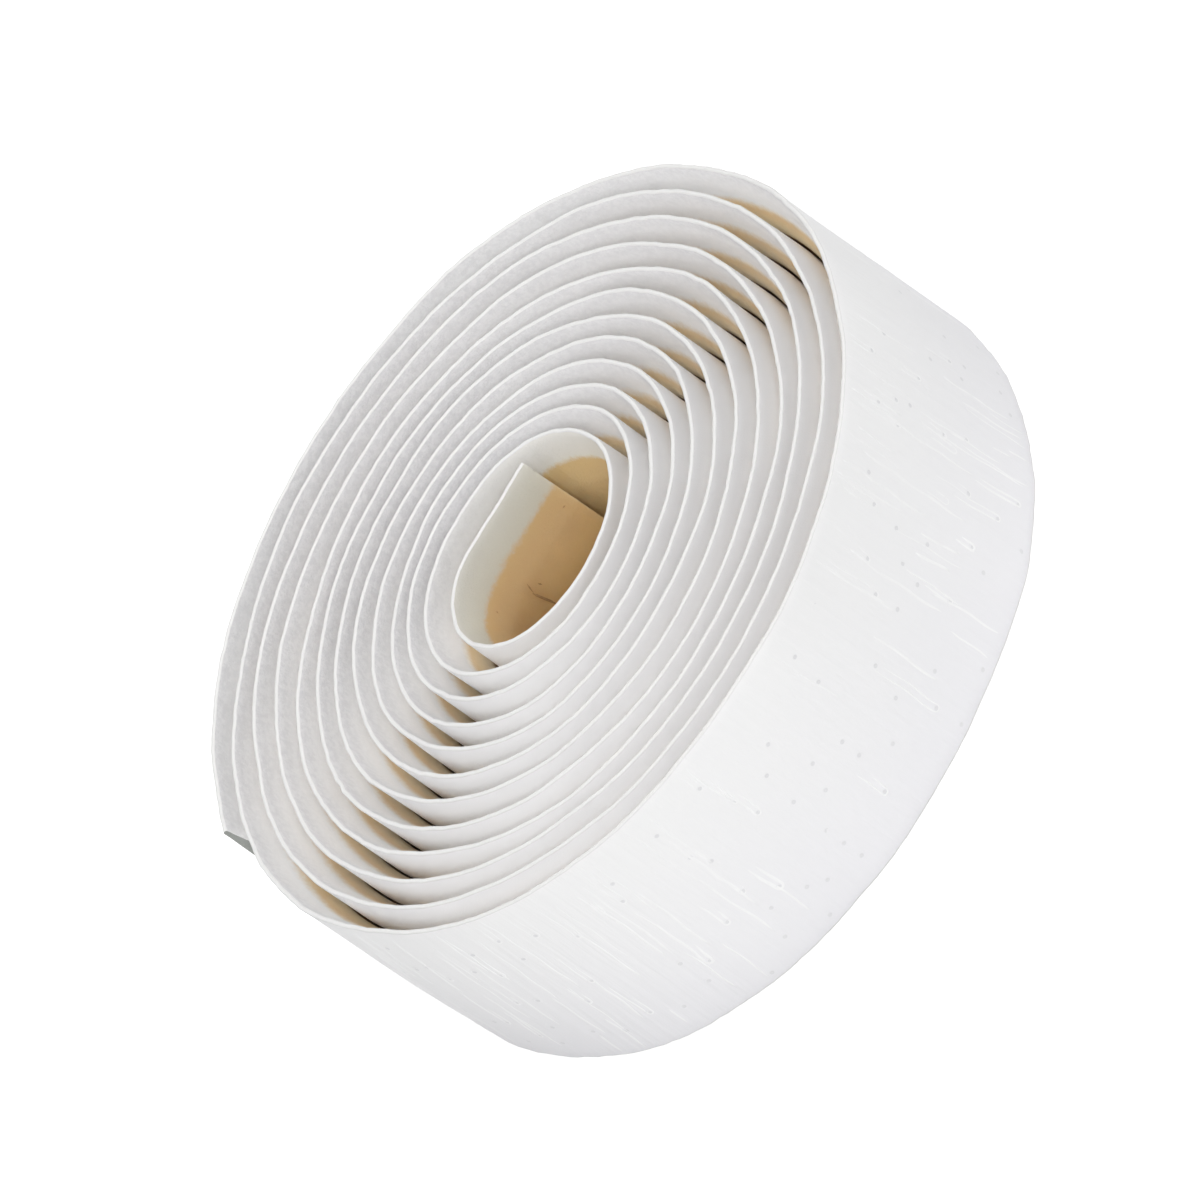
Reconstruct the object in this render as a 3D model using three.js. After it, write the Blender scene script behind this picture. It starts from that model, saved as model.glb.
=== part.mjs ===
import * as THREE from 'three';

// A roll of handlebar tape that stands on one end, in millimetres with +Z up.
// One long tape winds outwards from the core, counterclockwise seen from above, and
// the whole roll is slightly oval. Its back is pared down towards both edges, so each
// turn touches the next one only along the middle of the tape.

// The tape
const TAPE_WIDTH = 30;
const TAPE_THICKNESS = 2.8; // along the middle of the tape, at the outside of the roll
const CORE_SQUEEZE = 0.42; // thickness lost at the core, where the tape is wound tightest
const EDGE_THICKNESS = 0.5;
const SKIVE_WIDTH = 7.5; // the pared strip of the back, beside each edge

// The winding
const TURNS = 12.15;
const START_ANGLE = THREE.MathUtils.degToRad(105);
const CORE_RADIUS = 10.7; // outer face of the tape where the first turn starts
const TURN_GAP = 0.2; // clearance that keeps neighbouring turns apart
const CORE_OFFSET = new THREE.Vector2(0.3, 2.8); // core's centre from the roll's centre
const OVAL_CORE = 1.2; // added to the radius on the long axis, taken off on the short one
const OVAL_OUTSIDE = 2.4;
const OVAL_DIRECTION = THREE.MathUtils.degToRad(13);

// The inner end, which has sprung away from the first turn and runs straight
const INNER_LIFT = 1.8;
const INNER_LIFT_TURNS = 0.55;
const INNER_END_CLEARANCE = 0.3; // between the straight end and the turn around it

// Fineness of the mesh and of the search for the straight end's length
const STATIONS_PER_TURN = 64;
const TANGENT_STEP = 0.001;
const SEARCH_STEP = 0.05;

// How far a place is along the winding, from 0 at the core to 1 at the outside.
function progress(turn) {
  return turn / TURNS;
}

// The centre of a turn drifts from the core's centre to the roll's centre.
function turnCentre(turn) {
  return CORE_OFFSET.clone().multiplyScalar(1 - progress(turn));
}

// Radius of the tape's outer face: one thickness and one gap more with every turn.
function spiralRadius(turn) {
  const angle = START_ANGLE + 2 * Math.PI * turn;
  const corePitch = TAPE_THICKNESS - CORE_SQUEEZE + TURN_GAP;
  const pitchGrowth = CORE_SQUEEZE / TURNS;
  const oval = THREE.MathUtils.lerp(OVAL_CORE, OVAL_OUTSIDE, progress(turn));
  const round = CORE_RADIUS + corePitch * turn + (pitchGrowth * turn * turn) / 2;
  return round + oval * Math.cos(2 * (angle - OVAL_DIRECTION));
}

function radialDirection(turn) {
  const angle = START_ANGLE + 2 * Math.PI * turn;
  return new THREE.Vector2(Math.cos(angle), Math.sin(angle));
}

// A place on the spiral, before the inner end springs away from it.
function spiralPoint(turn) {
  return radialDirection(turn).multiplyScalar(spiralRadius(turn)).add(turnCentre(turn));
}

// The tape as wound fills the space down to the turn beneath it, less the gap.
function woundThickness(turn) {
  const step = spiralPoint(turn).sub(spiralPoint(turn - 1));
  return step.dot(radialDirection(turn)) - TURN_GAP;
}

// How far the inner end has sprung inwards, fading out along the first turn.
function innerLift(turn) {
  const left = Math.max(0, 1 - turn / INNER_LIFT_TURNS);
  return INNER_LIFT * left * left;
}

function outerFacePoint(turn) {
  return spiralPoint(turn).sub(radialDirection(turn).multiplyScalar(innerLift(turn)));
}

// Direction of the tape at a place, pointing out along the winding.
function tapeDirection(turn) {
  const ahead = outerFacePoint(turn + TANGENT_STEP);
  return ahead.sub(outerFacePoint(turn - TANGENT_STEP)).normalize();
}

// One station holds a point of the outer face, the way to the back, and the thickness.
function station(point, direction, thickness) {
  const toBack = new THREE.Vector2(-direction.y, direction.x);
  return { point, toBack, thickness };
}

// Room between the straight end and the inside of the turn that passes around it.
function roomAround(point) {
  const angle = Math.atan2(point.y - CORE_OFFSET.y, point.x - CORE_OFFSET.x);
  const turn = 1 + (angle - START_ANGLE) / (2 * Math.PI);
  const inside = spiralRadius(turn) - woundThickness(turn);
  return inside - point.distanceTo(turnCentre(turn));
}

// The straight end reaches across the core until it nearly meets the turn around it.
function straightEndPoint(start, direction) {
  const end = start.clone();
  while (roomAround(end) > INNER_END_CLEARANCE) {
    end.addScaledVector(direction, -SEARCH_STEP);
  }
  return end;
}

function tapeStations() {
  const startPoint = outerFacePoint(0);
  const startDirection = tapeDirection(0);
  const endPoint = straightEndPoint(startPoint, startDirection);
  const stations = [station(endPoint, startDirection, woundThickness(0))];
  const wholeStations = Math.ceil(TURNS * STATIONS_PER_TURN);
  for (let i = 0; i <= wholeStations; i++) {
    const turn = Math.min(i / STATIONS_PER_TURN, TURNS);
    stations.push(station(outerFacePoint(turn), tapeDirection(turn), woundThickness(turn)));
  }
  return stations;
}

// The tape's section: how far each corner lies behind the outer face, and its height.
function sectionCorners(thickness) {
  return [
    [0, 0],
    [0, TAPE_WIDTH],
    [EDGE_THICKNESS, TAPE_WIDTH],
    [thickness, TAPE_WIDTH - SKIVE_WIDTH],
    [thickness, SKIVE_WIDTH],
    [EDGE_THICKNESS, 0],
  ];
}

// Joins each station's section to the next one's and closes the two cut ends.
function sweptTape(stations) {
  const positions = [];
  const faces = [];
  const corners = sectionCorners(TAPE_THICKNESS).length;
  for (const { point, toBack, thickness } of stations) {
    for (const [depth, height] of sectionCorners(thickness)) {
      positions.push(point.x + toBack.x * depth, point.y + toBack.y * depth, height);
    }
  }
  for (let s = 0; s < stations.length - 1; s++) {
    for (let c = 0; c < corners; c++) {
      const here = s * corners + c;
      const up = s * corners + ((c + 1) % corners);
      faces.push(here, here + corners, up + corners);
      faces.push(here, up + corners, up);
    }
  }
  const last = (stations.length - 1) * corners;
  for (let c = 1; c < corners - 1; c++) {
    faces.push(0, c, c + 1);
    faces.push(last, last + c + 1, last + c);
  }
  const geometry = new THREE.BufferGeometry();
  geometry.setAttribute('position', new THREE.Float32BufferAttribute(positions, 3));
  geometry.setIndex(faces);
  return geometry;
}

// The roll's middle is put on the Z axis, and it stands on the edges of its turns.
function tapeRoll() {
  const geometry = sweptTape(tapeStations());
  geometry.computeBoundingBox();
  const middle = geometry.boundingBox.getCenter(new THREE.Vector3());
  geometry.translate(-middle.x, -middle.y, 0);
  const material = new THREE.MeshStandardMaterial({
    color: 0xf0f0ee,
    roughness: 0.75,
    metalness: 0,
    flatShading: true,
  });
  const mesh = new THREE.Mesh(geometry, material);
  mesh.name = 'tape_roll';
  return mesh;
}

const roll = new THREE.Group();
roll.add(tapeRoll());

export default roll;
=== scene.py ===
"""A roll of white handlebar tape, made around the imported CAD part.

The CAD part gives the winding and the box. This script winds the same tape again in a finer
mesh, with soft corners, turns that aren't quite level, and streaks and pits on its outer face.
It adds the materials, the light and the camera. Lengths are in millimetres until a mesh is made.
"""

import math

import bpy
import numpy as np
from mathutils import Matrix, Vector


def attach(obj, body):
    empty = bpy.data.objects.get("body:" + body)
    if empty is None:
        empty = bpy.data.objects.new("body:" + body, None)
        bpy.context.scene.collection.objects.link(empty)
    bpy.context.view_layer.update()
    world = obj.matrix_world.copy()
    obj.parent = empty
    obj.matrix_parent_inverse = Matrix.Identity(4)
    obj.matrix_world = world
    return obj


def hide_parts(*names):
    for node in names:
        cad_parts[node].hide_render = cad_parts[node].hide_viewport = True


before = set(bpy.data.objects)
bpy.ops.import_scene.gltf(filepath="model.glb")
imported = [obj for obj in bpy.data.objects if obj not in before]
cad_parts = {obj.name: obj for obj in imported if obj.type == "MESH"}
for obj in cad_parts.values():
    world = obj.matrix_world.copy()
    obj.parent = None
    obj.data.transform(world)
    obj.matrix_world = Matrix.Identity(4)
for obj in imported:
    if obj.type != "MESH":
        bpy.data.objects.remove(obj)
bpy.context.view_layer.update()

MM = 0.001
BODY = "root"
CAD_NODE = "tape_roll"
SEED = 7

# The mesh attribute that holds a point's place on the tape, as length, height and depth
PLACE_ATTRIBUTE = "tape"

# The winding, as in the CAD part
TAPE_THICKNESS = 2.8
CORE_SQUEEZE = 0.42
EDGE_THICKNESS = 0.5
SKIVE_WIDTH = 7.5
TURNS = 12.15
START_ANGLE = math.radians(105)
CORE_RADIUS = 10.7
TURN_GAP = 0.2
CORE_OFFSET = np.array([0.3, 2.8])
OVAL_CORE = 1.2
OVAL_OUTSIDE = 2.4
OVAL_DIRECTION = math.radians(13)
INNER_LIFT = 1.8
INNER_LIFT_TURNS = 0.55
INNER_END_CLEARANCE = 0.3
CAD_STATIONS_PER_TURN = 64
TANGENT_STEP = 0.001
SEARCH_STEP = 0.05
PATH_SAMPLES = 20001

# The finer tape: its turns nearly touch at the core
ROLL_HEIGHT = 30.0
CORE_GAP = 0.1
OUTSIDE_GAP = 0.2
STATION_SPACING = 1.05

# Its section, where the stops are distances from an edge
FACE_STOPS = (10.0, 6.0, 3.0, 1.2)
CORNER_RADIUS = 0.2
CORNER_ANGLES = (0, 30, 60, 90)
BACK_CORNER = 0.1
SKIVE_STOPS = (1.2, 2.6, 3.8, 4.8, 5.7, 6.5, 7.1, 7.5, 8.0, 10.0)
SKIVE_CURVE = 1.5
RIDGE_ROUNDING = 0.03
RIDGE_REACH = 0.7

# Its outer end, pressed thinner
END_PRESS = 0.38
END_PRESS_LENGTH = 12.0

# Its edges, which aren't quite level or straight. How far a turn is sunk goes by its number.
EDGE_SINKS = [(0, 0.2), (2, 0.0), (3, 0.35), (6, 0.3), (8, 0.7), (9.5, 0.15), (TURNS, 0.0)]
EDGE_WOBBLE = 0.14
EDGE_WOBBLE_REACH = 9.0
EDGE_FRAY = 0.035
EDGE_FRAY_REACH = 1.0
RIM_NICKS = 0.04
WOBBLE_WAVELENGTHS = (9.0, 15.0, 26.0, 47.0)

# How far the lower edge of the last turn stands out, by angle around the roll in degrees. The
# flare reaches this high up the tape, and it is weaker on the turns further in.
LOW_EDGE_FLARE = [
    (160, 0.0), (185, -1.0), (205, -0.9), (218, 0.0), (240, 0.7), (256, 0.05),
    (288, 0.1), (300, 0.7), (310, 1.3), (318, 1.0), (330, 0.3), (350, 0.1),
]
FLARE_REACH = 24.0
FLARE_POWER = 3

# Raised streaks on the outer face of the last turn
STREAK_WIDTH = 0.35
STREAK_WIDTH_SHARES = (0.5, 1.15)
STREAK_HEIGHT = 0.035
STREAK_HEIGHT_SHARES = (0.6, 1.3)
STREAK_BASE = 0.01
STREAK_PROFILE = ((1.0, 0.0), (0.6, 0.7), (0.0, 1.0), (-0.6, 0.7), (-1.0, 0.0))
STREAK_POINT_SPACING = 0.9
STREAK_TAPER_RATE = 6
STREAK_LEAST_TAPER = 0.02
STREAK_EDGE_CLEARANCE = 0.25
SWAY_WIDTH = 0.09
SWAY_LEAN = 0.02
SWAY_WAVELENGTHS = (5, 9)

# How likely a streak is, by angle around the roll in degrees
STREAKINESS = [
    (0, 0.05), (35, 0.05), (60, 0.6), (238, 0.6), (262, 0.06), (284, 0.06), (298, 0.75),
    (330, 0.75), (338, 0.05), (360, 0.05),
]

# Streaks that loop around a pit, and lone ones, of which more begin low than high
LOOP_SHARE = 0.9
LOOP_REACHES = (2.5, 11.0)
LOOP_SPREADS = (0.55, 0.8)
LOOP_SIDE_SHARES = (0.5, 1.0)
LOOP_BEND = (180, 225, 270, 315, 360)
LONE_STREAK_PLACES = 330
LONE_STREAK_HEIGHTS = (0.4, 22.0)
LONE_STREAK_POWER = 1.5
LONE_STREAK_REACHES = (4.0, 17.0)
CLEAR_OF_LAP = 1.0
CLEAR_OF_END = 2.0

# Pits on the same face, in a loose grid
PIT_COLUMN_SPACING = 3.8
PIT_COLUMN_STRAY = 0.7
PIT_ROW_SPACING = 4.3
PIT_ROW_STRAY = 0.8
PIT_FIRST_ROW = 0.4
PIT_SHARE = 0.52
PIT_LOW_MARGIN = 1.0
PIT_HIGH_MARGIN = 1.5
PIT_END_MARGIN = 1.5
PIT_RADII = (0.27, 0.36, 0.60)
PIT_FLOOR_LIFT = 0.006
PIT_LIP = 0.045
PIT_LIP_TILT = 0.45
PIT_SIDES = 10

# Marks on the back of the inner end: width, height and places on the tape, as length and height. The
# crease is a dark line painted as the shade of a kink; the flecks are dark specks.
MARK_HEIGHT = 0.06
BACK_MARKS = [
    (0.20, ((10.4, 22.4), (10.6, 21.8), (10.9, 20.9))),
    (0.34, ((11.0, 21.1), (10.9, 20.5), (10.7, 19.4), (10.5, 18.5), (10.3, 17.1))),
    (0.22, ((9.6, 21.1), (9.5, 20.8), (9.4, 20.5))),
    (0.22, ((1.6, 23.7), (1.4, 23.7), (1.2, 23.6))),
    (0.22, ((16.5, 25.3), (16.4, 25.1), (16.5, 24.9))),
]

# The camera: a parallel view from above the side where the tread shows
CAMERA_ELEVATION = math.radians(38.53)
CAMERA_ROLL = math.radians(55.18)
PHOTO_PIXELS = 1200
PIXELS_PER_MM = 9.6091
AIM_POINT = (-0.783, -0.827, 30.0)
AIM_PIXEL = (533.0, 555.8)
CAMERA_DISTANCE = 500.0

# The light, where 1 shows a white surface as white
AMBIENT_LIGHT = 0.20
LAMPS = [  # name, strength on a surface that faces it, direction around the roll, height angle
    ("top_light", 0.37, 20, 72),
    ("key_light", 0.48, 264, 39),
    ("right_fill", 0.10, 345, 12),
    ("left_fill", 0.23, 210, 45),
    ("far_fill", 0.11, 15, 40),
]
LAMP_SOFTNESS = math.radians(25)
FLOOR_SIZE = 3000.0
FLOOR_DROP = 0.01
FLOOR_COLOUR = 0.65
FLOOR_GLOW = 0.58

# The foam, in millimetres: how far light soaks in, and where its colours change by the distance
# from an edge or by the length along the tape. The cell range is one of noise values.
FOAM_LIGHT_REACH = 6.0
# Painted shade and light: the foam is greyer in this strip beside the edges and whiter further in
PAINTED_SHADE_STRIP = 4.5
TAN_BORDER = (5.0, 6.6)
CORE_BORDER = (4.9, 5.8)
FOAM_CELL_RANGE = (0.36, 0.64)
# Painted shade: dark brown at these distances from an edge, where each turn meets the next, deep
# between them
CONTACT_SHADE_DEPTHS = (7.3, 8.3)
CONTACT_SHADE_COLOUR = (0.36, 0.235, 0.145, 1)
# Painted shade and light by length: darker on the inner end's first stretch, lighter past it, on the
# wall behind the flap
FIRST_STRETCH_SHADE_LENGTHS = (38.0, 60.0)
# Around the core, out to these lengths, the tan starts nearer the edge, and foam and tan are painted
# darker, as shade
CORE_LENGTHS = (70.0, 95.0)
# The core's tan is painted lighter between these depths, as light
CORE_TAN_DEPTHS = (7.5, 14.0)
# The pale tan is painted lighter between these depths, as light deep between the turns
TAN_FADE = (5.0, 7.8)

# How far noise moves the tan's border, and how far clouds move where the core's tan is painted
# lighter
BORDER_DRIFT = 1.2
BORDER_SPECKLE = 0.9
CORE_TAN_DRIFT = 3.0

# The heights between which the painted shade on the tread's lower part fades out and the tread gets
# whiter, as shares of the tape's width
TREAD_PAINTED_SHADE_HEIGHTS = (-0.3, 1.1)

# Material numbers on the tape
WALL, EDGE, BACK, CUT, TREAD, PIT, STREAK, MARK = range(8)


def lerp(start, end, share):
    return start + (end - start) * share


def spiral_radius(turn):
    angle = START_ANGLE + 2 * math.pi * turn
    core_pitch = TAPE_THICKNESS - CORE_SQUEEZE + TURN_GAP
    wound = CORE_RADIUS + core_pitch * turn + CORE_SQUEEZE / TURNS * turn**2 / 2
    oval = lerp(OVAL_CORE, OVAL_OUTSIDE, turn / TURNS)
    return wound + oval * np.cos(2 * (angle - OVAL_DIRECTION))


def radial_direction(turn):
    angle = START_ANGLE + 2 * math.pi * turn
    return np.stack([np.cos(angle), np.sin(angle)], axis=-1)


def turn_centre(turn):
    return np.multiply.outer(1 - turn / TURNS, CORE_OFFSET)


def spiral_point(turn):
    return radial_direction(turn) * spiral_radius(turn)[:, None] + turn_centre(turn)


def wound_thickness(turn, gap):
    """The tape fills the space down to the turn beneath it, less the gap."""
    step = spiral_point(turn) - spiral_point(turn - 1)
    return (step * radial_direction(turn)).sum(axis=1) - gap


def outer_face_point(turn):
    """A place on the tape's outer face. The inner end has sprung away from the first turn."""
    left = np.clip(1 - turn / INNER_LIFT_TURNS, 0, None)
    lift = INNER_LIFT * left**2
    return spiral_point(turn) - radial_direction(turn) * lift[:, None]


def tape_direction(turn):
    step = outer_face_point(turn + TANGENT_STEP) - outer_face_point(turn - TANGENT_STEP)
    return step / np.linalg.norm(step, axis=1)[:, None]


def room_around(point):
    """Room between the straight inner end and the inside of the turn that passes around it."""
    angle = math.atan2(point[1] - CORE_OFFSET[1], point[0] - CORE_OFFSET[0])
    turn = np.array([1 + (angle - START_ANGLE) / (2 * math.pi)])
    inside = spiral_radius(turn) - wound_thickness(turn, TURN_GAP)
    return inside[0] - np.linalg.norm(point - turn_centre(turn)[0])


def straight_end_length(start, direction):
    length = 0.0
    while room_around(start - direction * length) > INNER_END_CLEARANCE:
        length += SEARCH_STEP
    return length


def centring_shift():
    """What the CAD part is moved by, so that the middle of its box is on the Z axis."""
    count = math.ceil(TURNS * CAD_STATIONS_PER_TURN)
    turn = np.minimum(np.arange(count + 1) / CAD_STATIONS_PER_TURN, TURNS)
    points = outer_face_point(turn)
    return -(points.min(axis=0) + points.max(axis=0)) / 2


def uneven_waves(rng, lengths):
    """A wavy line, mostly between -1 and 1, that doesn't look regular."""
    phases = rng.uniform(0, 2 * math.pi, len(WOBBLE_WAVELENGTHS))
    longest = max(WOBBLE_WAVELENGTHS)
    waves = [
        wavelength / longest * np.sin(2 * math.pi * lengths / wavelength + phase)
        for wavelength, phase in zip(WOBBLE_WAVELENGTHS, phases)
    ]
    return sum(waves)


class TapePath:
    """Where the tape runs, held at stations about a millimetre apart."""

    def __init__(self, rng):
        fine_turns = np.linspace(0, TURNS, PATH_SAMPLES)
        steps = np.linalg.norm(np.diff(outer_face_point(fine_turns), axis=0), axis=1)
        fine_lengths = np.concatenate([[0], np.cumsum(steps)])
        wound_count = round(fine_lengths[-1] / STATION_SPACING)
        wound_lengths = np.linspace(0, fine_lengths[-1], wound_count + 1)
        wound_turns = np.interp(wound_lengths, fine_lengths, fine_turns)

        start = outer_face_point(np.zeros(1))[0]
        start_direction = tape_direction(np.zeros(1))[0]
        end_length = straight_end_length(start, start_direction)
        end_count = round(end_length / STATION_SPACING)
        before = np.linspace(end_length, 0, end_count, endpoint=False)

        straight = start - np.outer(before, start_direction)
        points = np.vstack([straight, outer_face_point(wound_turns)])
        directions = np.vstack([
            np.tile(start_direction, (end_count, 1)),
            tape_direction(wound_turns),
        ])
        self.turns = np.concatenate([np.zeros(end_count), wound_turns])
        self.lengths = np.concatenate([end_length - before, end_length + wound_lengths])
        self.last_turn_length = end_length + np.interp(TURNS - 1, fine_turns, fine_lengths)
        self.points = points + centring_shift()
        self.to_back = np.stack([-directions[:, 1], directions[:, 0]], axis=1)
        gap = lerp(CORE_GAP, OUTSIDE_GAP, self.turns / TURNS)
        self.thickness = wound_thickness(self.turns, gap)
        self.press_outer_end()
        self.shape_edges(rng)

    def press_outer_end(self):
        """The last stretch of the tape is pressed thinner, down onto the turn beneath it."""
        from_end = self.lengths[-1] - self.lengths
        press = END_PRESS * np.clip(1 - from_end / END_PRESS_LENGTH, 0, 1)
        self.points += self.to_back * press[:, None]
        self.thickness -= press

    def shape_edges(self, rng):
        """Sinks some turns, and lets the edges wave, fray, and stand out or in."""
        sink_turns, sinks = zip(*EDGE_SINKS)
        self.tape_width = ROLL_HEIGHT
        self.height_share = 1 - np.interp(self.turns, sink_turns, sinks) / ROLL_HEIGHT
        angles = np.degrees(np.arctan2(self.points[:, 1], self.points[:, 0])) % 360
        last_turn_flare = np.interp(angles, *zip(*LOW_EDGE_FLARE))
        self.flare = last_turn_flare * (self.turns / TURNS) ** FLARE_POWER
        self.lean_low = EDGE_WOBBLE * uneven_waves(rng, self.lengths)
        self.lean_high = EDGE_WOBBLE * uneven_waves(rng, self.lengths)
        self.nick_low = RIM_NICKS * np.abs(uneven_waves(rng, self.lengths))
        self.nick_high = RIM_NICKS * np.abs(uneven_waves(rng, self.lengths))
        self.fray_low = rng.normal(0, EDGE_FRAY, len(self.lengths))
        self.fray_high = rng.normal(0, EDGE_FRAY, len(self.lengths))

    def at(self, values, length):
        return np.interp(length, self.lengths, values)

    def to_space(self, place):
        """Points in the roll, from rows of length along the tape, height on it and depth."""
        length, height, depth = place.T
        near_low = np.clip(1 - height / EDGE_WOBBLE_REACH, 0, 1) ** 2
        near_high = np.clip(1 - (self.tape_width - height) / EDGE_WOBBLE_REACH, 0, 1) ** 2
        lean = near_low * self.at(self.lean_low, length) + near_high * self.at(self.lean_high, length)
        at_low = np.clip(1 - height / EDGE_FRAY_REACH, 0, 1)
        at_high = np.clip(1 - (self.tape_width - height) / EDGE_FRAY_REACH, 0, 1)
        lean += at_low * self.at(self.fray_low, length) + at_high * self.at(self.fray_high, length)
        lean -= np.clip(1 - height / FLARE_REACH, 0, 1) ** 2 * self.at(self.flare, length)
        rise = near_low * self.at(self.nick_low, length) - near_high * self.at(self.nick_high, length)
        x = self.at(self.points[:, 0], length) + self.at(self.to_back[:, 0], length) * (depth + lean)
        y = self.at(self.points[:, 1], length) + self.at(self.to_back[:, 1], length) * (depth + lean)
        z = height * self.at(self.height_share, length) + rise
        return np.stack([x, y, z], axis=1)

    def angle_at(self, length):
        """Angle around the roll, in degrees from 0 to 360."""
        x = self.at(self.points[:, 0], length)
        y = self.at(self.points[:, 1], length)
        return math.degrees(math.atan2(y, x)) % 360


def half_section():
    """The tape's section from its outer face over one edge and down its back, in three parts.

    A point is its distance from the edge, a fixed depth behind the outer face, and a share of
    what the tape is thicker than its edge.
    """
    face = [(distance, 0.0, 0.0) for distance in FACE_STOPS]
    edge = []
    for angle in np.radians(CORNER_ANGLES):
        along = CORNER_RADIUS * (1 - math.sin(angle))
        behind = CORNER_RADIUS * (1 - math.cos(angle))
        edge.append((along, behind, 0.0))
    edge.append((0.0, EDGE_THICKNESS - BACK_CORNER, 0.0))
    back = []
    for distance in (BACK_CORNER, *SKIVE_STOPS):
        from_ridge = (distance - SKIVE_WIDTH) / RIDGE_REACH
        rounding = RIDGE_ROUNDING * math.exp(-(from_ridge**2))
        pared = min(distance / SKIVE_WIDTH, 1.0) ** SKIVE_CURVE
        back.append((distance, EDGE_THICKNESS, pared - rounding))
    return face, edge, back


def tape_section(width):
    """The whole section, and the material number of the face from each point to the next."""
    face, edge, back = half_section()
    half = face + edge + back
    middle_of_face = (width / 2, 0.0, 0.0)
    middle_of_back = (width / 2, EDGE_THICKNESS, 1.0)
    upper = [(width - distance, fixed, share) for distance, fixed, share in half]
    section = [middle_of_face, *upper, middle_of_back, *half[::-1]]
    kinds = [WALL] * (len(face) + 1) + [EDGE] * len(edge) + [BACK] * len(back)
    return np.array(section), kinds + kinds[::-1]


def mesh_piece(name, place, faces, kinds, materials, path):
    """Makes a smooth mesh from places on the tape, which its materials can read."""
    mesh = bpy.data.meshes.new(name)
    mesh.from_pydata((path.to_space(place) * MM).tolist(), [], faces)
    for material in materials:
        mesh.materials.append(material)
    mesh.polygons.foreach_set("material_index", kinds)
    mesh.polygons.foreach_set("use_smooth", [True] * len(faces))
    attribute = mesh.attributes.new(PLACE_ATTRIBUTE, "FLOAT_VECTOR", "POINT")
    attribute.data.foreach_set("vector", place.ravel())
    mesh.update()
    piece = bpy.data.objects.new(name, mesh)
    bpy.context.scene.collection.objects.link(piece)
    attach(piece, BODY)
    return piece


def sharpen_face(mesh, index):
    """Makes one face flat, with sharp edges around it."""
    face = mesh.polygons[index]
    face.use_smooth = False
    around = set(face.edge_keys)
    for edge in mesh.edges:
        if edge.key in around:
            edge.use_edge_sharp = True


def sharpen_base(mesh):
    """Makes the edges that lie under the tape's face sharp, so that the face above stays smooth."""
    place = np.empty(len(mesh.vertices) * 3)
    mesh.attributes[PLACE_ATTRIBUTE].data.foreach_get("vector", place)
    buried = place.reshape(-1, 3)[:, 2] > STREAK_BASE / 2
    ends = np.empty(len(mesh.edges) * 2, dtype=int)
    mesh.edges.foreach_get("vertices", ends)
    sharp = mesh.attributes.new("sharp_edge", "BOOLEAN", "EDGE")
    sharp.data.foreach_set("value", buried[ends.reshape(-1, 2)].all(axis=1))


def add_wound_tape(path, materials):
    """The tape itself, which stands for the CAD node."""
    section, section_kinds = tape_section(path.tape_width)
    corners = len(section)
    stations = len(path.lengths)
    beyond_edge = np.repeat(path.thickness - EDGE_THICKNESS, corners)
    depth = np.tile(section[:, 1], stations) + np.tile(section[:, 2], stations) * beyond_edge
    length = np.repeat(path.lengths, corners)
    height = np.tile(section[:, 0], stations)

    faces = []
    for here in range(0, (stations - 1) * corners, corners):
        for corner in range(corners):
            beside = (corner + 1) % corners
            ahead = here + corners
            faces.append((here + corner, ahead + corner, ahead + beside, here + beside))
    last = (stations - 1) * corners
    faces.append(tuple(range(corners)))
    faces.append(tuple(range(last + corners - 1, last - 1, -1)))
    shown_kinds = [TREAD if kind == WALL else kind for kind in section_kinds]
    covered = int(np.searchsorted(path.lengths, path.last_turn_length))
    kinds = section_kinds * covered + shown_kinds * (stations - 1 - covered) + [CUT, CUT]

    place = np.stack([length, height, depth], axis=1)
    tape = mesh_piece("wound_tape", place, faces, kinds, materials, path)
    sharpen_face(tape.data, len(faces) - 2)
    sharpen_face(tape.data, len(faces) - 1)
    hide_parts(CAD_NODE)


def pit_places(rng, path):
    """A loose staggered grid over the last turn, with many places left out."""
    end = path.lengths[-1]
    places = []
    columns = int((end - path.last_turn_length) / PIT_COLUMN_SPACING)
    rows = int(path.tape_width / PIT_ROW_SPACING)
    for column in range(columns):
        for row in range(rows):
            length = path.last_turn_length + (column + 0.5) * PIT_COLUMN_SPACING
            length += rng.normal(0, PIT_COLUMN_STRAY)
            height = (row + PIT_FIRST_ROW + (column % 2) / 2) * PIT_ROW_SPACING
            height += rng.normal(0, PIT_ROW_STRAY)
            kept = rng.random() < PIT_SHARE
            clear_of_edges = PIT_LOW_MARGIN < height < path.tape_width - PIT_HIGH_MARGIN
            if kept and clear_of_edges and length < end - PIT_END_MARGIN:
                places.append((length, height))
    return places


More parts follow.
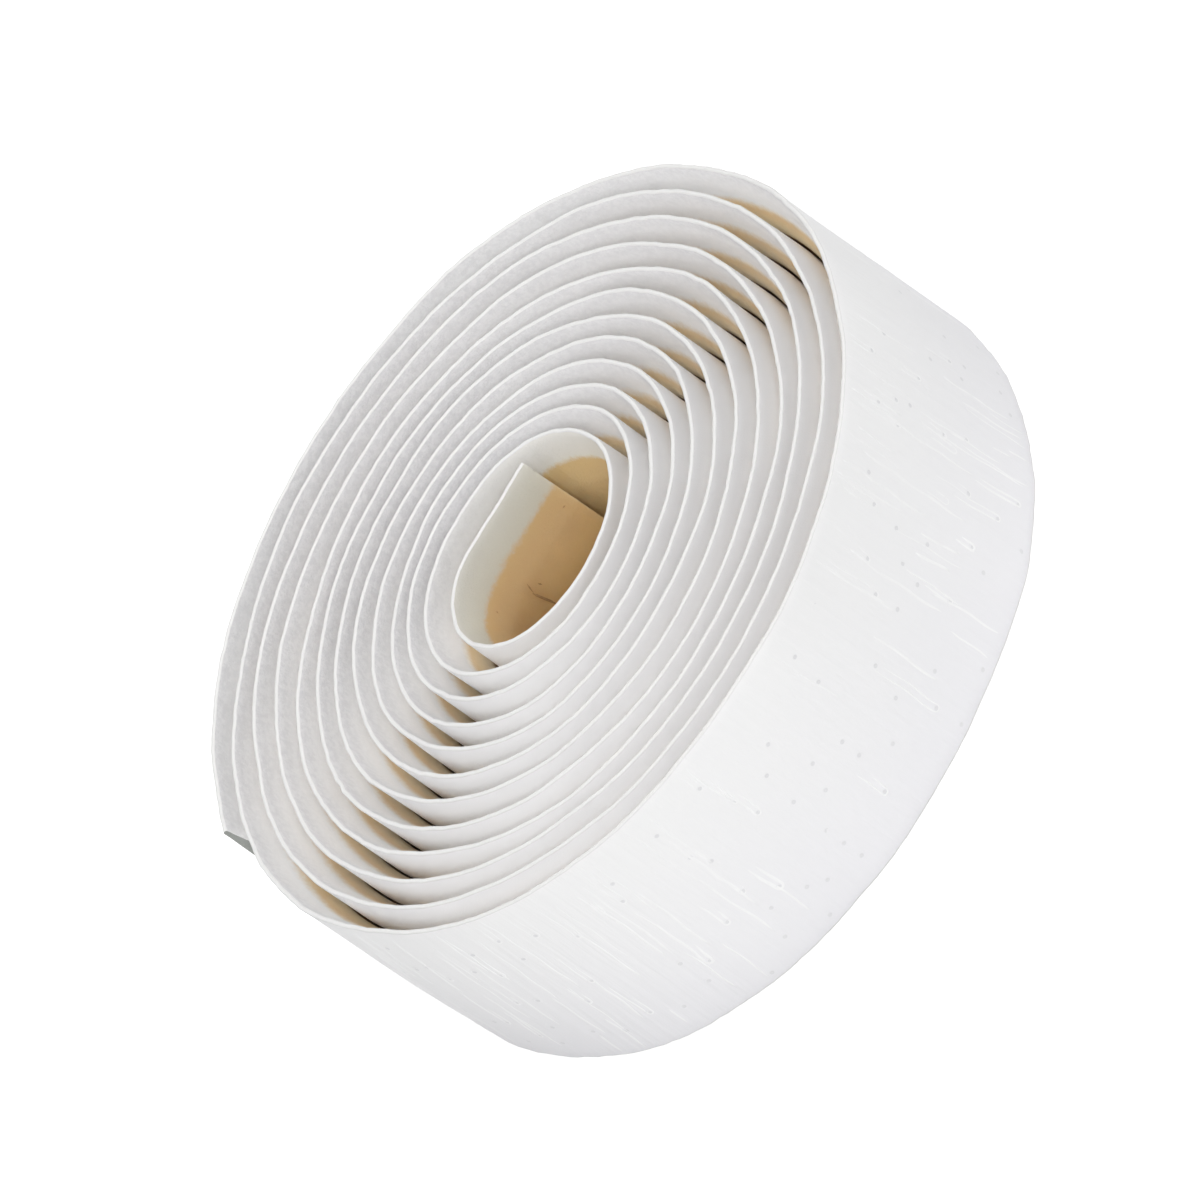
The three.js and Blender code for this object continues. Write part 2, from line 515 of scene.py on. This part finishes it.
def add_tread_pits(path, places, materials):
    """Shallow pits, each with a thin lip that stands highest on its upper side."""
    floor_radius, lip_radius, base_radius = PIT_RADII
    around = 2 * math.pi * np.arange(PIT_SIDES) / PIT_SIDES
    lip = PIT_LIP * (1 - PIT_LIP_TILT + PIT_LIP_TILT * np.sin(around))
    rings = [
        (floor_radius, np.full(PIT_SIDES, -PIT_FLOOR_LIFT)),
        (lip_radius, -lip),
        (base_radius, np.full(PIT_SIDES, STREAK_BASE)),
    ]
    pattern = [(0.0, 0.0, -PIT_FLOOR_LIFT)]
    for radius, depths in rings:
        for angle, depth in zip(around, depths):
            pattern.append((radius * math.cos(angle), radius * math.sin(angle), depth))
    pattern = np.array(pattern)

    pattern_faces = []
    pattern_kinds = []
    for side in range(PIT_SIDES):
        beside = (side + 1) % PIT_SIDES
        pattern_faces.append((0, 1 + side, 1 + beside))
        pattern_kinds.append(PIT)
        for inner in (1, 1 + PIT_SIDES):
            outer = inner + PIT_SIDES
            pattern_faces.append((inner + side, outer + side, outer + beside, inner + beside))
            pattern_kinds.append(TREAD)
    outer_ring = 1 + 2 * PIT_SIDES
    pattern_faces.append(tuple(outer_ring + side for side in reversed(range(PIT_SIDES))))
    pattern_kinds.append(TREAD)

    place = []
    faces = []
    for number, (length, height) in enumerate(places):
        place.append(pattern + (length, height, 0.0))
        first = number * len(pattern)
        faces += [tuple(first + corner for corner in face) for face in pattern_faces]
    kinds = pattern_kinds * len(places)
    piece = mesh_piece("tread_pits", np.vstack(place), faces, kinds, materials, path)
    sharpen_base(piece.data)


def sway(rng, heights):
    """How far a streak strays sideways along its height."""
    phase = rng.uniform(0, 2 * math.pi)
    wavelength = rng.uniform(*SWAY_WAVELENGTHS)
    lean = rng.normal(0, SWAY_LEAN)
    above = heights - heights.min()
    return SWAY_WIDTH * np.sin(2 * math.pi * above / wavelength + phase) + lean * above


def hairpin(rng, length, height, reach, spread):
    """A loop that runs down one side of a pit, around it and up the other side."""
    left_top = height + reach
    right_top = height + reach * rng.uniform(*LOOP_SIDE_SHARES)
    left = np.arange(left_top, height + STREAK_POINT_SPACING / 2, -STREAK_POINT_SPACING)
    right = np.arange(height + STREAK_POINT_SPACING, right_top, STREAK_POINT_SPACING)
    bend = np.radians(LOOP_BEND)
    heights = np.concatenate([left, height + spread / 2 * np.sin(bend), right])
    lengths = length + np.concatenate([
        np.full(len(left), -spread / 2),
        spread / 2 * np.cos(bend),
        np.full(len(right), spread / 2),
    ])
    return np.stack([lengths + sway(rng, heights), heights], axis=1)


def lone_streak(rng, length, height, reach):
    """A nearly straight line up the face."""
    heights = np.arange(height, height + reach, STREAK_POINT_SPACING)
    return np.stack([length + sway(rng, heights), heights], axis=1)


def streakiness(path, length):
    """How likely a streak is at this length along the tape."""
    return np.interp(path.angle_at(length), *zip(*STREAKINESS))


def streak_lines(rng, path, pits):
    """Loops that end at pits, and lone streaks between them."""
    lines = []
    for length, height in pits:
        if rng.random() < LOOP_SHARE * streakiness(path, length):
            reach = rng.uniform(*LOOP_REACHES)
            lines.append(hairpin(rng, length, height, reach, rng.uniform(*LOOP_SPREADS)))
    start = path.last_turn_length + CLEAR_OF_LAP
    end = path.lengths[-1] - CLEAR_OF_END
    for number in range(LONE_STREAK_PLACES):
        length = lerp(start, end, (number + rng.random()) / LONE_STREAK_PLACES)
        height = lerp(*LONE_STREAK_HEIGHTS, rng.random() ** LONE_STREAK_POWER)
        if rng.random() < streakiness(path, length):
            lines.append(lone_streak(rng, length, height, rng.uniform(*LONE_STREAK_REACHES)))
    return lines


def ridge(line, top, width):
    """Places and faces of a low rounded ridge along a line, closed at its ends."""
    along = np.gradient(line, axis=0)
    along /= np.linalg.norm(along, axis=1)[:, None]
    share = np.linspace(0, 1, len(line))
    to_nearer_end = np.minimum(share, 1 - share)
    taper = np.sqrt(np.clip(to_nearer_end * STREAK_TAPER_RATE, STREAK_LEAST_TAPER, 1))[:, None]
    side = np.stack([-along[:, 1], along[:, 0]], axis=1) * taper * width / 2
    rows = [
        np.hstack([line + side * across, STREAK_BASE - (top + STREAK_BASE) * taper * rise])
        for across, rise in STREAK_PROFILE
    ]
    place = np.stack(rows, axis=1).reshape(-1, 3)
    count = len(STREAK_PROFILE)
    faces = []
    for here in range(0, (len(line) - 1) * count, count):
        for corner in range(count):
            beside = here + (corner + 1) % count
            faces.append((here + corner, beside, beside + count, here + corner + count))
    last = (len(line) - 1) * count
    faces.append(tuple(reversed(range(count))))
    faces.append(tuple(range(last, last + count)))
    return place, faces


def add_tread_streaks(rng, path, lines, materials):
    """A ridge along each line, as far as the line stays below the upper edge."""
    places = []
    faces = []
    first = 0
    for line in lines:
        line = line[line[:, 1] < path.tape_width - STREAK_EDGE_CLEARANCE]
        top = STREAK_HEIGHT * rng.uniform(*STREAK_HEIGHT_SHARES)
        width = STREAK_WIDTH * rng.uniform(*STREAK_WIDTH_SHARES)
        place, ridge_faces = ridge(line, top, width)
        places.append(place)
        faces += [tuple(first + corner for corner in face) for face in ridge_faces]
        first += len(place)
    kinds = [STREAK] * len(faces)
    piece = mesh_piece("tread_streaks", np.vstack(places), faces, kinds, materials, path)
    sharpen_base(piece.data)


def add_back_marks(path, materials):
    """A crease, painted as shade, and a few flecks where the inner end shows its back."""
    places = []
    faces = []
    first = 0
    for width, line in BACK_MARKS:
        place, ridge_faces = ridge(np.array(line), MARK_HEIGHT, width)
        place[:, 2] = path.at(path.thickness, place[:, 0]) - place[:, 2]
        places.append(place)
        faces += [tuple(first + corner for corner in reversed(face)) for face in ridge_faces]
        first += len(place)
    kinds = [MARK] * len(faces)
    mesh_piece("back_marks", np.vstack(places), faces, kinds, materials, path)


class Nodes:
    """A material's nodes, added in one call each."""

    def __init__(self, name):
        self.material = bpy.data.materials.new(name)
        self.material.use_nodes = True
        self.tree = self.material.node_tree
        self.shader = self.tree.nodes["Principled BSDF"]
        place = self.add("ShaderNodeAttribute", attribute_name=PLACE_ATTRIBUTE)
        self.place = place.outputs["Vector"]
        parts = self.add("ShaderNodeSeparateXYZ", {"Vector": self.place})
        self.length, self.height = parts.outputs[0], parts.outputs[1]

    def add(self, kind, inputs=None, **settings):
        """Adds a node. An input gets a value, or a link where it is another node's output."""
        node = self.tree.nodes.new(kind)
        for name, value in settings.items():
            setattr(node, name, value)
        for name, value in (inputs or {}).items():
            self.put(node, name, value)
        return node

    def put(self, node, name, value):
        if isinstance(value, bpy.types.NodeSocket):
            self.tree.links.new(value, node.inputs[name])
        else:
            node.inputs[name].default_value = value

    def edge_distance(self, tape_width):
        """The distance to the nearer edge of the tape."""
        return self.math("MINIMUM", self.height, self.math("SUBTRACT", tape_width, self.height))

    def math(self, operation, first, second=0.0):
        node = self.add("ShaderNodeMath", {0: first, 1: second}, operation=operation)
        return node.outputs[0]

    def stretched(self, along, up, out=1.0):
        """The place on the tape, stretched for a pattern of this many repeats a millimetre."""
        inputs = {0: self.place, 1: (along, up, out)}
        return self.add("ShaderNodeVectorMath", inputs, operation="MULTIPLY").outputs[0]

    def noise(self, vector, detail=2.0, roughness=0.5):
        inputs = {"Vector": vector, "Scale": 1.0, "Detail": detail, "Roughness": roughness}
        return self.add("ShaderNodeTexNoise", inputs).outputs["Fac"]

    def ramp(self, value, low, high):
        """0 below low, 1 above high, and smooth between them."""
        inputs = {"Value": value, "From Min": low, "From Max": high}
        return self.add("ShaderNodeMapRange", inputs, interpolation_type="SMOOTHSTEP").outputs[0]

    def blend(self, share, first, second):
        """Mixes two colours, or two values. The colour sockets of a Mix node go by number."""
        node = self.add("ShaderNodeMix", data_type="RGBA")
        self.put(node, 0, share)
        self.put(node, 6, first)
        self.put(node, 7, second)
        return node.outputs[2]

    def bump(self, height, depth_mm, below=None):
        inputs = {"Height": height, "Distance": depth_mm * MM, "Strength": 1.0}
        if below is not None:
            inputs["Normal"] = below
        return self.add("ShaderNodeBump", inputs).outputs[0]

    def let_light_through(self, reach_mm):
        """Foam that light soaks into, which softens the shade between the turns."""
        self.put(self.shader, "Subsurface Weight", 1.0)
        self.put(self.shader, "Subsurface Radius", (1.0, 1.0, 1.0))
        self.put(self.shader, "Subsurface Scale", reach_mm * MM)

    def finish(self, colour, roughness, normal=None):
        self.put(self.shader, "Base Color", colour)
        self.put(self.shader, "Roughness", roughness)
        if normal is not None:
            self.put(self.shader, "Normal", normal)
        return self.material


def tread_material(tape_width):
    """The last turn's outer face: white, with faint bands across the tape and a fine grain.

    It is a little greyer and cooler towards the lower edge, which is painted shade.
    """
    nodes = Nodes("tread_foam")
    patches = nodes.noise(nodes.stretched(0.09, 0.06), detail=3)
    bands = nodes.noise(nodes.stretched(1.1, 0.07), detail=3)
    grain = nodes.noise(nodes.stretched(7.0, 4.0), detail=2)
    upper = nodes.blend(patches, (0.91, 0.91, 0.915, 1), (0.93, 0.928, 0.925, 1))
    # Painted shade: the lower colours are greyer and cooler than the upper ones
    lower = nodes.blend(patches, (0.835, 0.83, 0.86, 1), (0.855, 0.85, 0.87, 1))
    low, high = (share * tape_width for share in TREAD_PAINTED_SHADE_HEIGHTS)
    out_of_painted_shade = nodes.ramp(nodes.height, low, high)
    colour = nodes.blend(out_of_painted_shade, lower, upper)
    banded = nodes.bump(bands, 0.15)
    grained = nodes.bump(grain, 0.012, banded)
    return nodes.finish(colour, 0.55, grained)


def streak_material():
    """The raised streaks, glossier than the face around them, and whiter as a painted highlight."""
    nodes = Nodes("tread_streak")
    patches = nodes.noise(nodes.stretched(0.8, 0.5), detail=2)
    # Painted highlight: the streaks are whiter than the tread around them
    colour = nodes.blend(patches, (0.90, 0.90, 0.905, 1), (0.955, 0.955, 0.955, 1))
    return nodes.finish(colour, 0.45)


def wall_material(tape_width):
    """The outer face between the turns: greyer and cooler beside the edges as painted shade, and
    whiter further in as painted light against the shade deep between the turns.
    """
    nodes = Nodes("wall_foam")
    patches = nodes.noise(nodes.stretched(0.12, 0.10), detail=3)
    # Painted shade beside the edges, and painted light further in
    beside_edge = nodes.blend(patches, (0.86, 0.855, 0.88, 1), (0.90, 0.895, 0.905, 1))
    further_in = nodes.ramp(nodes.edge_distance(tape_width), 0.0, PAINTED_SHADE_STRIP)
    seen = nodes.blend(further_in, beside_edge, (0.985, 0.98, 0.97, 1))
    # Painted shade where the turns meet
    contact_shade = nodes.ramp(nodes.edge_distance(tape_width), *CONTACT_SHADE_DEPTHS)
    colour = nodes.blend(contact_shade, seen, CONTACT_SHADE_COLOUR)
    grain = nodes.noise(nodes.stretched(5.0, 4.0), detail=2)
    nodes.let_light_through(FOAM_LIGHT_REACH)
    return nodes.finish(colour, 0.6, nodes.bump(grain, 0.02))


def edge_material():
    """The cut edge of the tape: slightly warm and fuzzy."""
    nodes = Nodes("edge_foam")
    fuzz = nodes.noise(nodes.stretched(4.0, 4.0, 4.0), detail=4, roughness=0.7)
    colour = nodes.blend(fuzz, (0.75, 0.745, 0.735, 1), (0.80, 0.795, 0.79, 1))
    return nodes.finish(colour, 0.85, nodes.bump(fuzz, 0.08))


def back_material(tape_width):
    """The back: bare foam beside the edges and a tan middle, with a soft uneven border.

    Around the core the foam is darker and the tan stronger, darkest beside the foam and along the
    inner end's first stretch: painted shade of the core. Towards the tape's middle the core's tan is
    lighter, and past that stretch both are lighter: painted light.
    """
    nodes = Nodes("back_foam")
    edge_distance = nodes.edge_distance(tape_width)
    out_of_core = nodes.ramp(nodes.length, *CORE_LENGTHS)
    in_core = nodes.math("SUBTRACT", 1.0, out_of_core)
    # Painted shade on the inner end's first stretch, and painted light past it
    first_stretch_shade = nodes.math("SUBTRACT", 1.0, nodes.ramp(nodes.length, *FIRST_STRETCH_SHADE_LENGTHS))
    drift = nodes.noise(nodes.stretched(0.10, 0.10), detail=2)
    speckle = nodes.noise(nodes.stretched(1.5, 1.5), detail=3, roughness=0.65)
    drifting = nodes.math("MULTIPLY", drift, BORDER_DRIFT)
    speckled = nodes.math("MULTIPLY", speckle, BORDER_SPECKLE)
    uneven = nodes.math("ADD", drifting, speckled)
    border = nodes.math("ADD", edge_distance, uneven)
    core_share = nodes.ramp(border, *CORE_BORDER)
    tan_share = nodes.blend(in_core, nodes.ramp(border, *TAN_BORDER), core_share)
    clouds = nodes.noise(nodes.stretched(0.35, 0.25), detail=3)
    pale_tan = nodes.blend(clouds, (0.76, 0.52, 0.295, 1), (0.87, 0.65, 0.41, 1))
    # Painted light: the pale tan gets lighter deep between the turns
    fading = nodes.ramp(edge_distance, *TAN_FADE)
    pale_tan = nodes.blend(fading, pale_tan, (0.96, 0.785, 0.57, 1))
    clouded = nodes.math("MULTIPLY", clouds, CORE_TAN_DRIFT)
    cloudy_distance = nodes.math("ADD", edge_distance, clouded)
    # Painted shade of the core: its tan is darkest beside the foam, more so on the first stretch, and
    # lighter towards the middle
    toward_middle = nodes.ramp(cloudy_distance, *CORE_TAN_DEPTHS)
    core_border = nodes.blend(first_stretch_shade, (0.66, 0.47, 0.235, 1), (0.56, 0.39, 0.20, 1))
    core_tan = nodes.blend(toward_middle, core_border, (0.76, 0.515, 0.245, 1))
    tan = nodes.blend(in_core, pale_tan, core_tan)
    cells = nodes.ramp(speckle, *FOAM_CELL_RANGE)
    # Painted shade beside the edges and painted light further in; the cells are the foam's own grain
    beside_edge = nodes.blend(cells, (0.585, 0.575, 0.59, 1), (0.665, 0.655, 0.665, 1))
    further_in = nodes.ramp(edge_distance, 0.0, PAINTED_SHADE_STRIP)
    strip_painted_foam = nodes.blend(further_in, beside_edge, (0.985, 0.975, 0.955, 1))
    # Painted shade: the foam around the core is darker, most of all on the first stretch
    core_foam = nodes.blend(first_stretch_shade, (0.76, 0.745, 0.67, 1), (0.535, 0.525, 0.455, 1))
    foam = nodes.blend(in_core, strip_painted_foam, core_foam)
    seen = nodes.blend(tan_share, foam, tan)
    # Painted shade where the turns meet, outside the core
    contact_shade = nodes.math("MULTIPLY", nodes.ramp(edge_distance, *CONTACT_SHADE_DEPTHS), out_of_core)
    colour = nodes.blend(contact_shade, seen, CONTACT_SHADE_COLOUR)
    grain = nodes.noise(nodes.stretched(2.0, 2.0), detail=4, roughness=0.7)
    nodes.let_light_through(FOAM_LIGHT_REACH)
    return nodes.finish(colour, 0.9, nodes.bump(grain, 0.14))


def cut_material():
    """The cut ends: bare foam with open cells, painted dark grey-green as shade."""
    nodes = Nodes("cut_foam")
    cells = nodes.noise(nodes.stretched(1.0, 3.5, 3.5), detail=4, roughness=0.7)
    # Painted shade: the cut ends are dark grey-green
    colour = nodes.blend(cells, (0.25, 0.265, 0.245, 1), (0.42, 0.43, 0.41, 1))
    return nodes.finish(colour, 0.95, nodes.bump(cells, 0.10))


def pit_material():
    """The floor of a pit, painted darker grey as shade."""
    nodes = Nodes("pit_floor")
    speckle = nodes.noise(nodes.stretched(5.0, 5.0), detail=2)
    # Painted shade in the pit
    colour = nodes.blend(speckle, (0.74, 0.74, 0.755, 1), (0.84, 0.84, 0.85, 1))
    return nodes.finish(colour, 0.8)


def mark_material():
    """The crease and the flecks: the tan, made dark. On the crease this is painted shade."""
    nodes = Nodes("back_mark")
    speckle = nodes.noise(nodes.stretched(3.0, 3.0), detail=2)
    # Painted shade on the crease; the flecks are dark specks
    colour = nodes.blend(speckle, (0.32, 0.19, 0.085, 1), (0.52, 0.34, 0.17, 1))
    return nodes.finish(colour, 0.9)


def add_camera():
    """A parallel view. The aim point is set by its pixel in the photo's own frame."""
    look = Vector((0, math.cos(CAMERA_ELEVATION), -math.sin(CAMERA_ELEVATION)))
    level_right = Vector((1, 0, 0))
    level_up = level_right.cross(look)
    right = level_right * math.cos(CAMERA_ROLL) - level_up * math.sin(CAMERA_ROLL)
    up = level_right * math.sin(CAMERA_ROLL) + level_up * math.cos(CAMERA_ROLL)
    middle = PHOTO_PIXELS / 2
    across = (middle - AIM_PIXEL[0]) / PIXELS_PER_MM
    above = (AIM_PIXEL[1] - middle) / PIXELS_PER_MM
    centre = Vector(AIM_POINT) + right * across + up * above
    data = bpy.data.cameras.new("photo_camera")
    data.type = "ORTHO"
    data.ortho_scale = PHOTO_PIXELS / PIXELS_PER_MM * MM
    camera = bpy.data.objects.new("photo_camera", data)
    bpy.context.scene.collection.objects.link(camera)
    turned = Matrix((right, up, -look)).transposed().to_quaternion()
    stand = (centre - look * CAMERA_DISTANCE) * MM
    camera.matrix_world = Matrix.LocRotScale(stand, turned, None)
    bpy.context.scene.camera = camera


def add_lamps():
    """Suns with soft shadows, from the directions in LAMPS."""
    for name, strength, around, above in LAMPS:
        around, above = math.radians(around), math.radians(above)
        data = bpy.data.lights.new(name, "SUN")
        data.energy = math.pi * strength
        data.angle = LAMP_SOFTNESS
        lamp = bpy.data.objects.new(name, data)
        level = Vector((math.cos(around), math.sin(around), 0))
        toward = level * math.cos(above) + Vector((0, 0, math.sin(above)))
        lamp.rotation_mode = "QUATERNION"
        lamp.rotation_quaternion = toward.to_track_quat("Z", "Y")
        bpy.context.scene.collection.objects.link(lamp)


def glow_where_seen(tree, socket, always, seen):
    """Adds strength for rays from the camera, in reflections and through clear things."""
    path = tree.nodes.new("ShaderNodeLightPath")
    share = path.outputs["Is Camera Ray"]
    for ray in ("Is Glossy Ray", "Is Transmission Ray"):
        either = tree.nodes.new("ShaderNodeMath")
        either.operation = "MAXIMUM"
        tree.links.new(share, either.inputs[0])
        tree.links.new(path.outputs[ray], either.inputs[1])
        share = either.outputs[0]
    total = tree.nodes.new("ShaderNodeMath")
    total.operation = "MULTIPLY_ADD"
    total.inputs[1].default_value = seen
    total.inputs[2].default_value = always
    tree.links.new(share, total.inputs[0])
    tree.links.new(total.outputs[0], socket)


def set_world():
    """Even white air. It is fully white only where it is seen."""
    world = bpy.data.worlds.new("studio_air")
    bpy.context.scene.world = world
    world.use_nodes = True
    background = world.node_tree.nodes["Background"]
    background.inputs["Color"].default_value = (1, 1, 1, 1)
    glow_where_seen(world.node_tree, background.inputs["Strength"], AMBIENT_LIGHT, 1 - AMBIENT_LIGHT)


def add_floor():
    """A plain floor that is seen as white, with the roll's shadow kept."""
    half = FLOOR_SIZE / 2
    corners = [(-half, -half), (half, -half), (half, half), (-half, half)]
    mesh = bpy.data.meshes.new("floor")
    mesh.from_pydata([(x * MM, y * MM, -FLOOR_DROP * MM) for x, y in corners], [], [(0, 1, 2, 3)])
    material = bpy.data.materials.new("pale_floor")
    material.use_nodes = True
    tree = material.node_tree
    shader = tree.nodes["Principled BSDF"]
    shader.inputs["Base Color"].default_value = (FLOOR_COLOUR, FLOOR_COLOUR, FLOOR_COLOUR, 1)
    shader.inputs["Roughness"].default_value = 1.0
    shader.inputs["Specular IOR Level"].default_value = 0.0
    shader.inputs["Emission Color"].default_value = (1, 1, 1, 1)
    glow_where_seen(tree, shader.inputs["Emission Strength"], 0.0, FLOOR_GLOW)
    mesh.materials.append(material)
    floor = bpy.data.objects.new("floor", mesh)
    bpy.context.scene.collection.objects.link(floor)


bpy.context.scene.view_settings.view_transform = "Standard"
add_camera()
add_lamps()
set_world()
add_floor()

random_draws = np.random.default_rng(SEED)
tape_path = TapePath(random_draws)
tape_materials = [
    wall_material(tape_path.tape_width),
    edge_material(),
    back_material(tape_path.tape_width),
    cut_material(),
    tread_material(tape_path.tape_width),
    pit_material(),
    streak_material(),
    mark_material(),
]
add_wound_tape(tape_path, tape_materials)
pits = pit_places(random_draws, tape_path)
add_tread_pits(tape_path, pits, tape_materials)
streaks = streak_lines(random_draws, tape_path, pits)
add_tread_streaks(random_draws, tape_path, streaks, tape_materials)
add_back_marks(tape_path, tape_materials)
